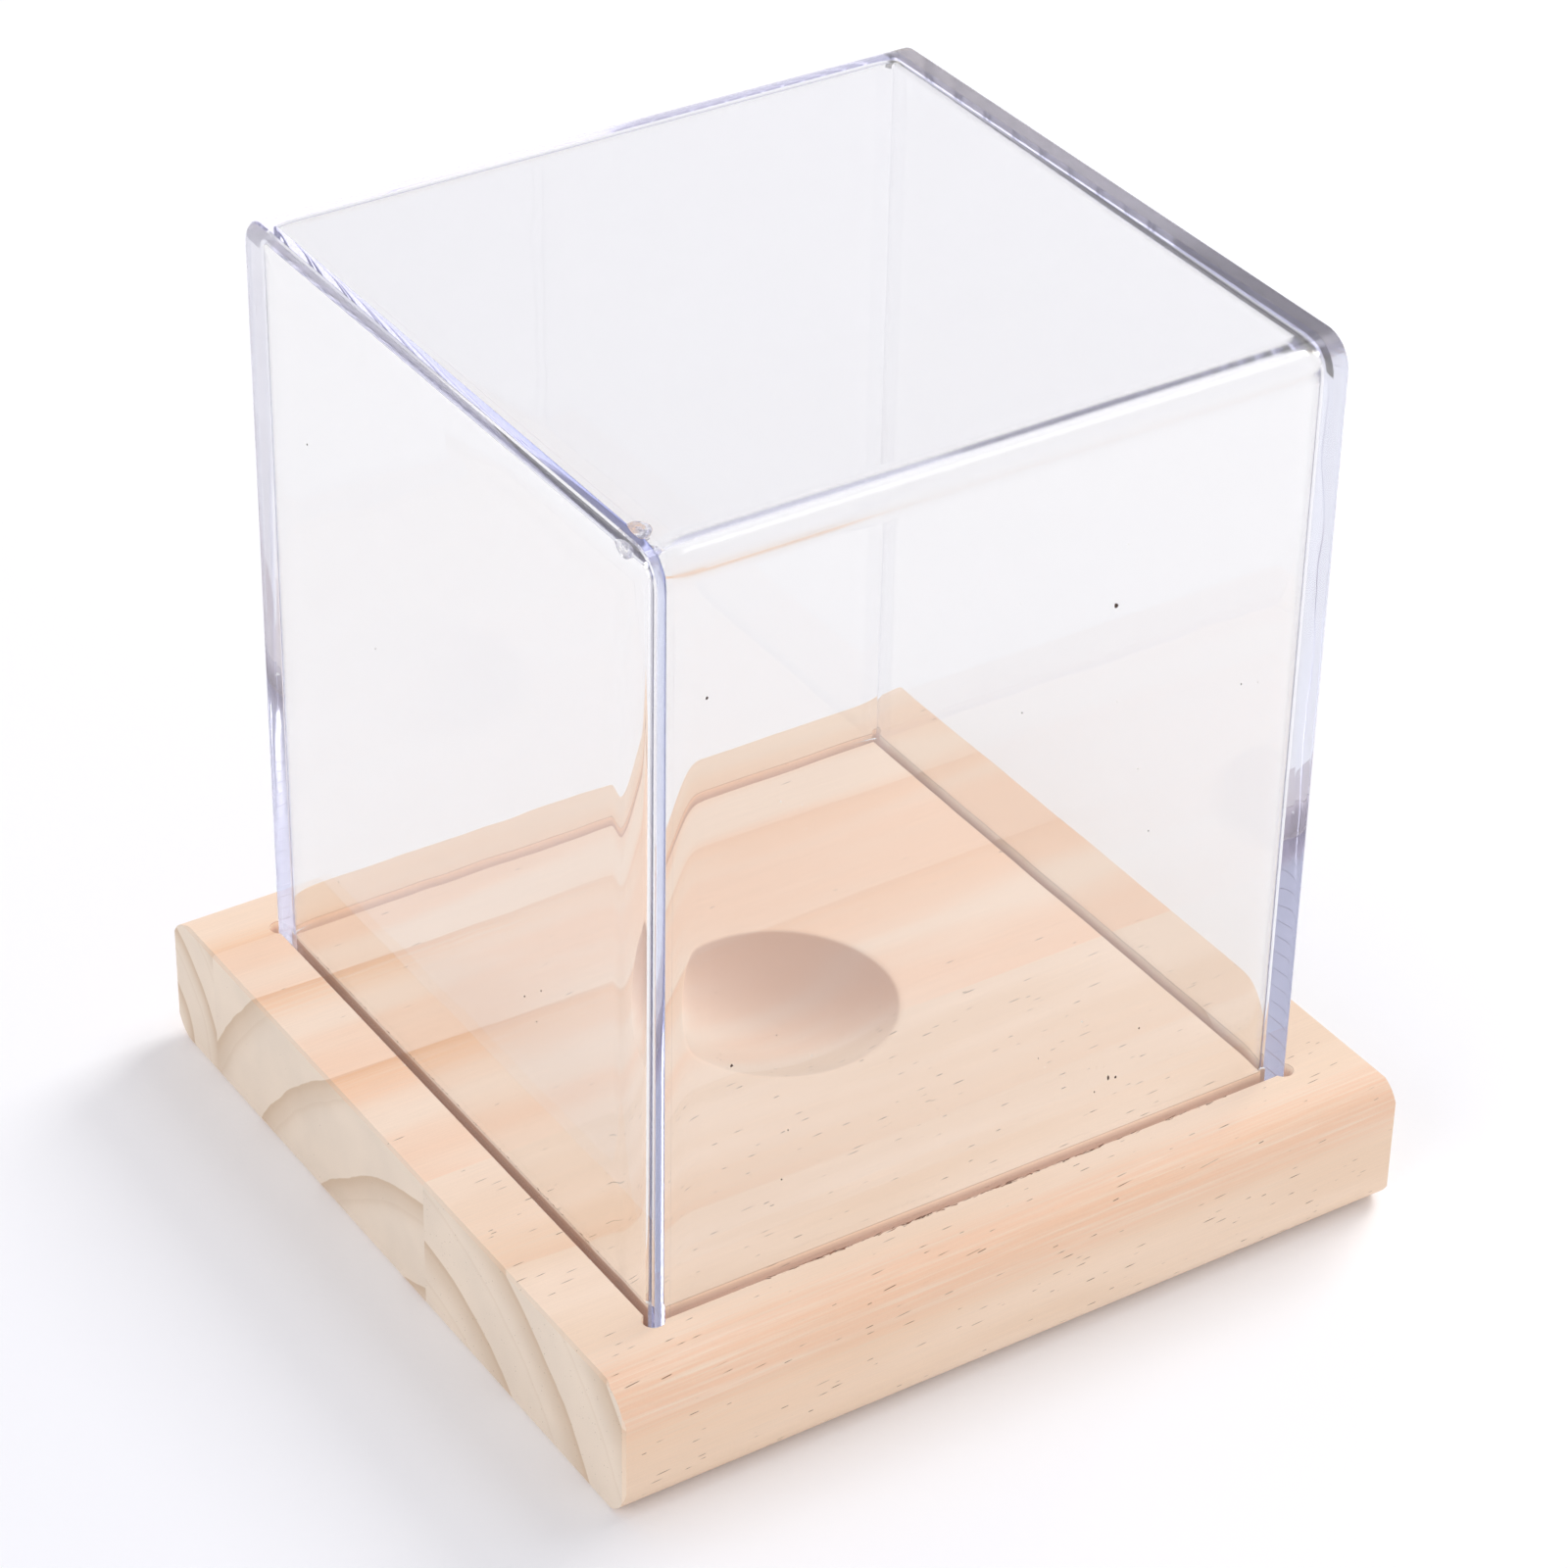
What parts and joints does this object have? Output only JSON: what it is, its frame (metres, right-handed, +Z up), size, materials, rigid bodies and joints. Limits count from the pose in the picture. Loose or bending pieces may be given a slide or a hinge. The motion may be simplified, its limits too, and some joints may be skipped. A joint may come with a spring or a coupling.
{
  "type": "acrylic display cube",
  "caption": "Clear lift-off acrylic cover standing in a groove in a square pine base with a shallow ball dish.",
  "frame": {"origin": "centre of the base's underside, which is the bottom centre of the object's box", "axes": "+Z up and the longest extent; X along the wood grain, with the two flat side panels at -X and +X; -Y is the front, where the bent sheet's front wall is"},
  "size_m": [0.12, 0.12, 0.13],
  "materials": {
    "pine": "sanded and unvarnished",
    "clear_acrylic": "clear and glossy",
    "acrylic_cement": "clear and glossy"
  },
  "bodies": {
    "base": {"base_back_stave": "pine", "base_middle_stave": "pine", "base_front_stave": "pine"},
    "cover": {"cover_bent_sheet": "clear_acrylic", "cover_left_panel": "clear_acrylic", "cover_right_panel": "clear_acrylic", "left_cement_seam": "acrylic_cement", "right_cement_seam": "acrylic_cement", "cement_bead": "acrylic_cement"}
  },
  "joints": [
    {"name": "cover_lift", "type": "slide", "parent": "base", "child": "cover", "axis": [0, 0, 1], "range_m": [0, 0.12]}
  ]
}
